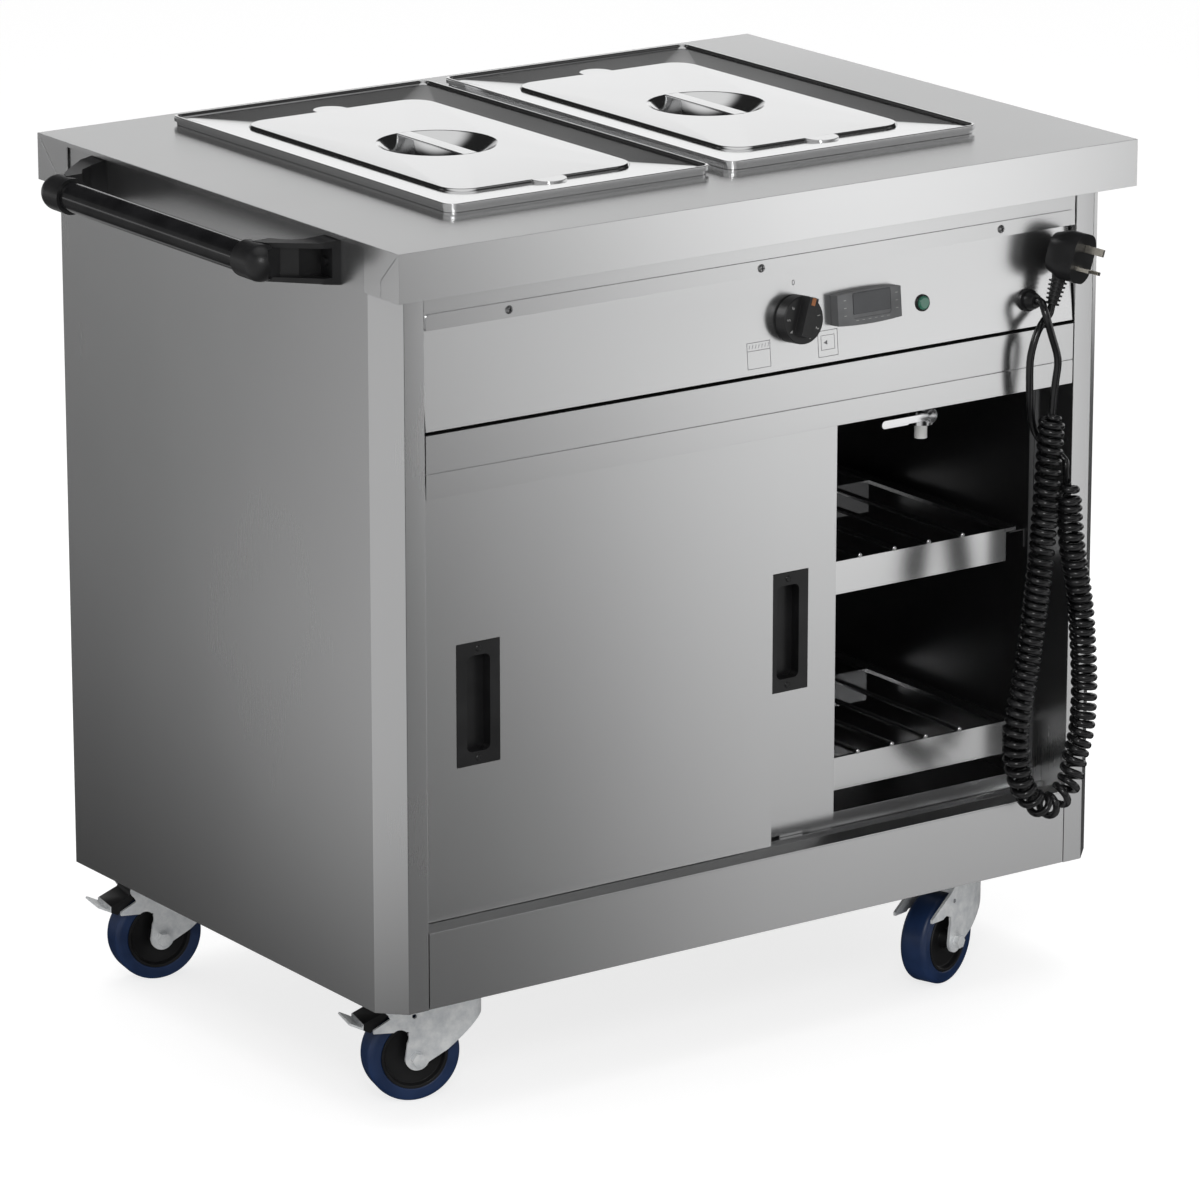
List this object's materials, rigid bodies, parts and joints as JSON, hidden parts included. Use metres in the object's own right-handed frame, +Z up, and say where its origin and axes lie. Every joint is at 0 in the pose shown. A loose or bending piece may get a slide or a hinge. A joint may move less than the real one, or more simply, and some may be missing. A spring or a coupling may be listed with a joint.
{
  "type": "hostess trolley",
  "caption": "Mobile stainless hot cupboard on swivel castors: lidded pans in a heated well, sliding doors over rod shelves, leaning control panel, push handle and curly mains cord.",
  "frame": {"origin": "middle of the footprint of the trolley without its cord, on the floor that the wheels stand on", "axes": "+X to the right along the front, +Y from the front to the back, +Z up"},
  "size_m": [1.008, 0.7131, 0.9345],
  "materials": {
    "worktop_steel": "satin stainless steel",
    "panel_steel": "brushed stainless steel",
    "well_steel": "satin stainless steel",
    "pan_steel": "bright pressed stainless steel",
    "element": "oxidised element tube",
    "bright_metal": "polished",
    "rod_steel": "bright drawn wire",
    "white_plastic": "moulded",
    "black_plastic": "moulded, fine texture",
    "pointer": "moulded",
    "regulator": "moulded",
    "controller": "moulded",
    "lamp": "tinted lens",
    "handle_sleeve": "smooth sleeve on a steel tube",
    "castor_zinc": "bright zinc plate",
    "tyre": "blue-grey rubber",
    "cord": "rubber sheath",
    "plug": "moulded",
    "plug_pins": "plated"
  },
  "bodies": {
    "carcass": {"worktop": "worktop_steel", "divider_bar": "worktop_steel", "well_tank": "well_steel", "well_element": "element", "drain_body": "bright_metal", "drain_outlet": "white_plastic", "side_panel_left": "panel_steel", "side_panel_right": "panel_steel", "back_panel": "panel_steel", "base_pan": "panel_steel", "plinth": "panel_steel", "bottom_track": "panel_steel", "top_track": "panel_steel", "badge_strip": "panel_steel", "upper_rail": "panel_steel", "control_fascia": "panel_steel", "fascia_screws": "bright_metal", "cupboard_liner": "well_steel", "cupboard_heater": "element", "shelf_supports": "well_steel", "regulator_body": "regulator", "controller_unit": "controller", "indicator_lamp": "lamp", "handle_bar": "handle_sleeve", "handle_bracket_near": "black_plastic", "handle_bracket_far": "black_plastic", "castor_plates": "castor_zinc", "cable_gland": "black_plastic", "cord_lead": "cord", "cord_curls": "cord", "cord_tail": "cord", "plug_body": "plug", "plug_pins": "plug_pins"},
    "door_left": {"door_left": "panel_steel", "pull_left": "black_plastic"},
    "door_right": {"door_right": "panel_steel", "pull_right": "black_plastic"},
    "pan_left": {"pan_left": "pan_steel"},
    "pan_right": {"pan_right": "pan_steel"},
    "lid_left": {"lid_left": "pan_steel"},
    "lid_right": {"lid_right": "pan_steel"},
    "shelf_upper": {"shelf_upper": "rod_steel"},
    "shelf_lower": {"shelf_lower": "rod_steel"},
    "knob": {"control_knob": "black_plastic", "knob_pointer": "pointer"},
    "drain_lever": {"drain_lever": "bright_metal"},
    "fork_fl": {"castor_fork_fl": "castor_zinc"},
    "wheel_fl": {"wheel_hub_fl": "black_plastic", "tyre_fl": "tyre"},
    "pedal_fl": {"brake_pedal_fl": "black_plastic"},
    "fork_fr": {"castor_fork_fr": "castor_zinc"},
    "wheel_fr": {"wheel_hub_fr": "black_plastic", "tyre_fr": "tyre"},
    "fork_bl": {"castor_fork_bl": "castor_zinc"},
    "wheel_bl": {"wheel_hub_bl": "black_plastic", "tyre_bl": "tyre"},
    "pedal_bl": {"brake_pedal_bl": "black_plastic"},
    "fork_br": {"castor_fork_br": "castor_zinc"},
    "wheel_br": {"wheel_hub_br": "black_plastic", "tyre_br": "tyre"}
  },
  "joints": [
    {"name": "door_left_slide", "type": "slide", "parent": "carcass", "child": "door_left", "axis": [1, 0, 0], "range_m": [-0.009, 0.381]},
    {"name": "door_right_slide", "type": "slide", "parent": "carcass", "child": "door_right", "axis": [1, 0, 0], "range_m": [-0.108, 0.282]},
    {"name": "pan_left_lift", "type": "slide", "parent": "carcass", "child": "pan_left", "axis": [0, 0, 1], "range_m": [0, 0.2]},
    {"name": "pan_right_lift", "type": "slide", "parent": "carcass", "child": "pan_right", "axis": [0, 0, 1], "range_m": [0, 0.2]},
    {"name": "lid_left_lift", "type": "slide", "parent": "pan_left", "child": "lid_left", "axis": [0, 0, 1], "range_m": [0, 0.2]},
    {"name": "lid_right_lift", "type": "slide", "parent": "pan_right", "child": "lid_right", "axis": [0, 0, 1], "range_m": [0, 0.2]},
    {"name": "shelf_upper_lift", "type": "slide", "parent": "carcass", "child": "shelf_upper", "axis": [0, 0, 1], "range_m": [0, 0.012]},
    {"name": "shelf_lower_lift", "type": "slide", "parent": "carcass", "child": "shelf_lower", "axis": [0, 0, 1], "range_m": [0, 0.012]},
    {"name": "knob_turn", "type": "hinge", "parent": "carcass", "child": "knob", "pos_m": [0.0875, -0.3037, 0.782], "axis": [0, -0.995, 0.0995], "range_deg": [-280, 20]},
    {"name": "drain_lever_turn", "type": "hinge", "parent": "carcass", "child": "drain_lever", "pos_m": [0.3135, -0.2448, 0.633], "axis": [0, -1, 0], "range_deg": [0, 90]},
    {"name": "swivel_fl", "type": "hinge", "parent": "carcass", "child": "fork_fl", "pos_m": [-0.29, -0.23, 0.1], "axis": [0, 0, 1], "continuous": true},
    {"name": "wheel_spin_fl", "type": "hinge", "parent": "fork_fl", "child": "wheel_fl", "pos_m": [-0.33347, -0.21835, 0.05], "axis": [0.2588, 0.9659, 0], "continuous": true},
    {"name": "brake_fl", "type": "hinge", "parent": "fork_fl", "child": "pedal_fl", "pos_m": [-0.35955, -0.21136, 0.107], "axis": [0.2588, 0.9659, 0], "range_deg": [-8, 0]},
    {"name": "swivel_fr", "type": "hinge", "parent": "carcass", "child": "fork_fr", "pos_m": [0.372, -0.23, 0.1], "axis": [0, 0, 1], "continuous": true},
    {"name": "wheel_spin_fr", "type": "hinge", "parent": "fork_fr", "child": "wheel_fr", "pos_m": [0.32971, -0.24539, 0.05], "axis": [-0.342, 0.9397, 0], "continuous": true},
    {"name": "swivel_bl", "type": "hinge", "parent": "carcass", "child": "fork_bl", "pos_m": [-0.309, 0.246, 0.1], "axis": [0, 0, 1], "continuous": true},
    {"name": "wheel_spin_bl", "type": "hinge", "parent": "fork_bl", "child": "wheel_bl", "pos_m": [-0.35332, 0.25381, 0.05], "axis": [0.1736, 0.9848, 0], "continuous": true},
    {"name": "brake_bl", "type": "hinge", "parent": "fork_bl", "child": "pedal_bl", "pos_m": [-0.37991, 0.2585, 0.107], "axis": [0.1736, 0.9848, 0], "range_deg": [-8, 0]},
    {"name": "swivel_br", "type": "hinge", "parent": "carcass", "child": "fork_br", "pos_m": [0.391, 0.246, 0.1], "axis": [0, 0, 1], "continuous": true},
    {"name": "wheel_spin_br", "type": "hinge", "parent": "fork_br", "child": "wheel_br", "pos_m": [0.34698, 0.23664, 0.05], "axis": [-0.2079, 0.9781, 0], "continuous": true}
  ]
}
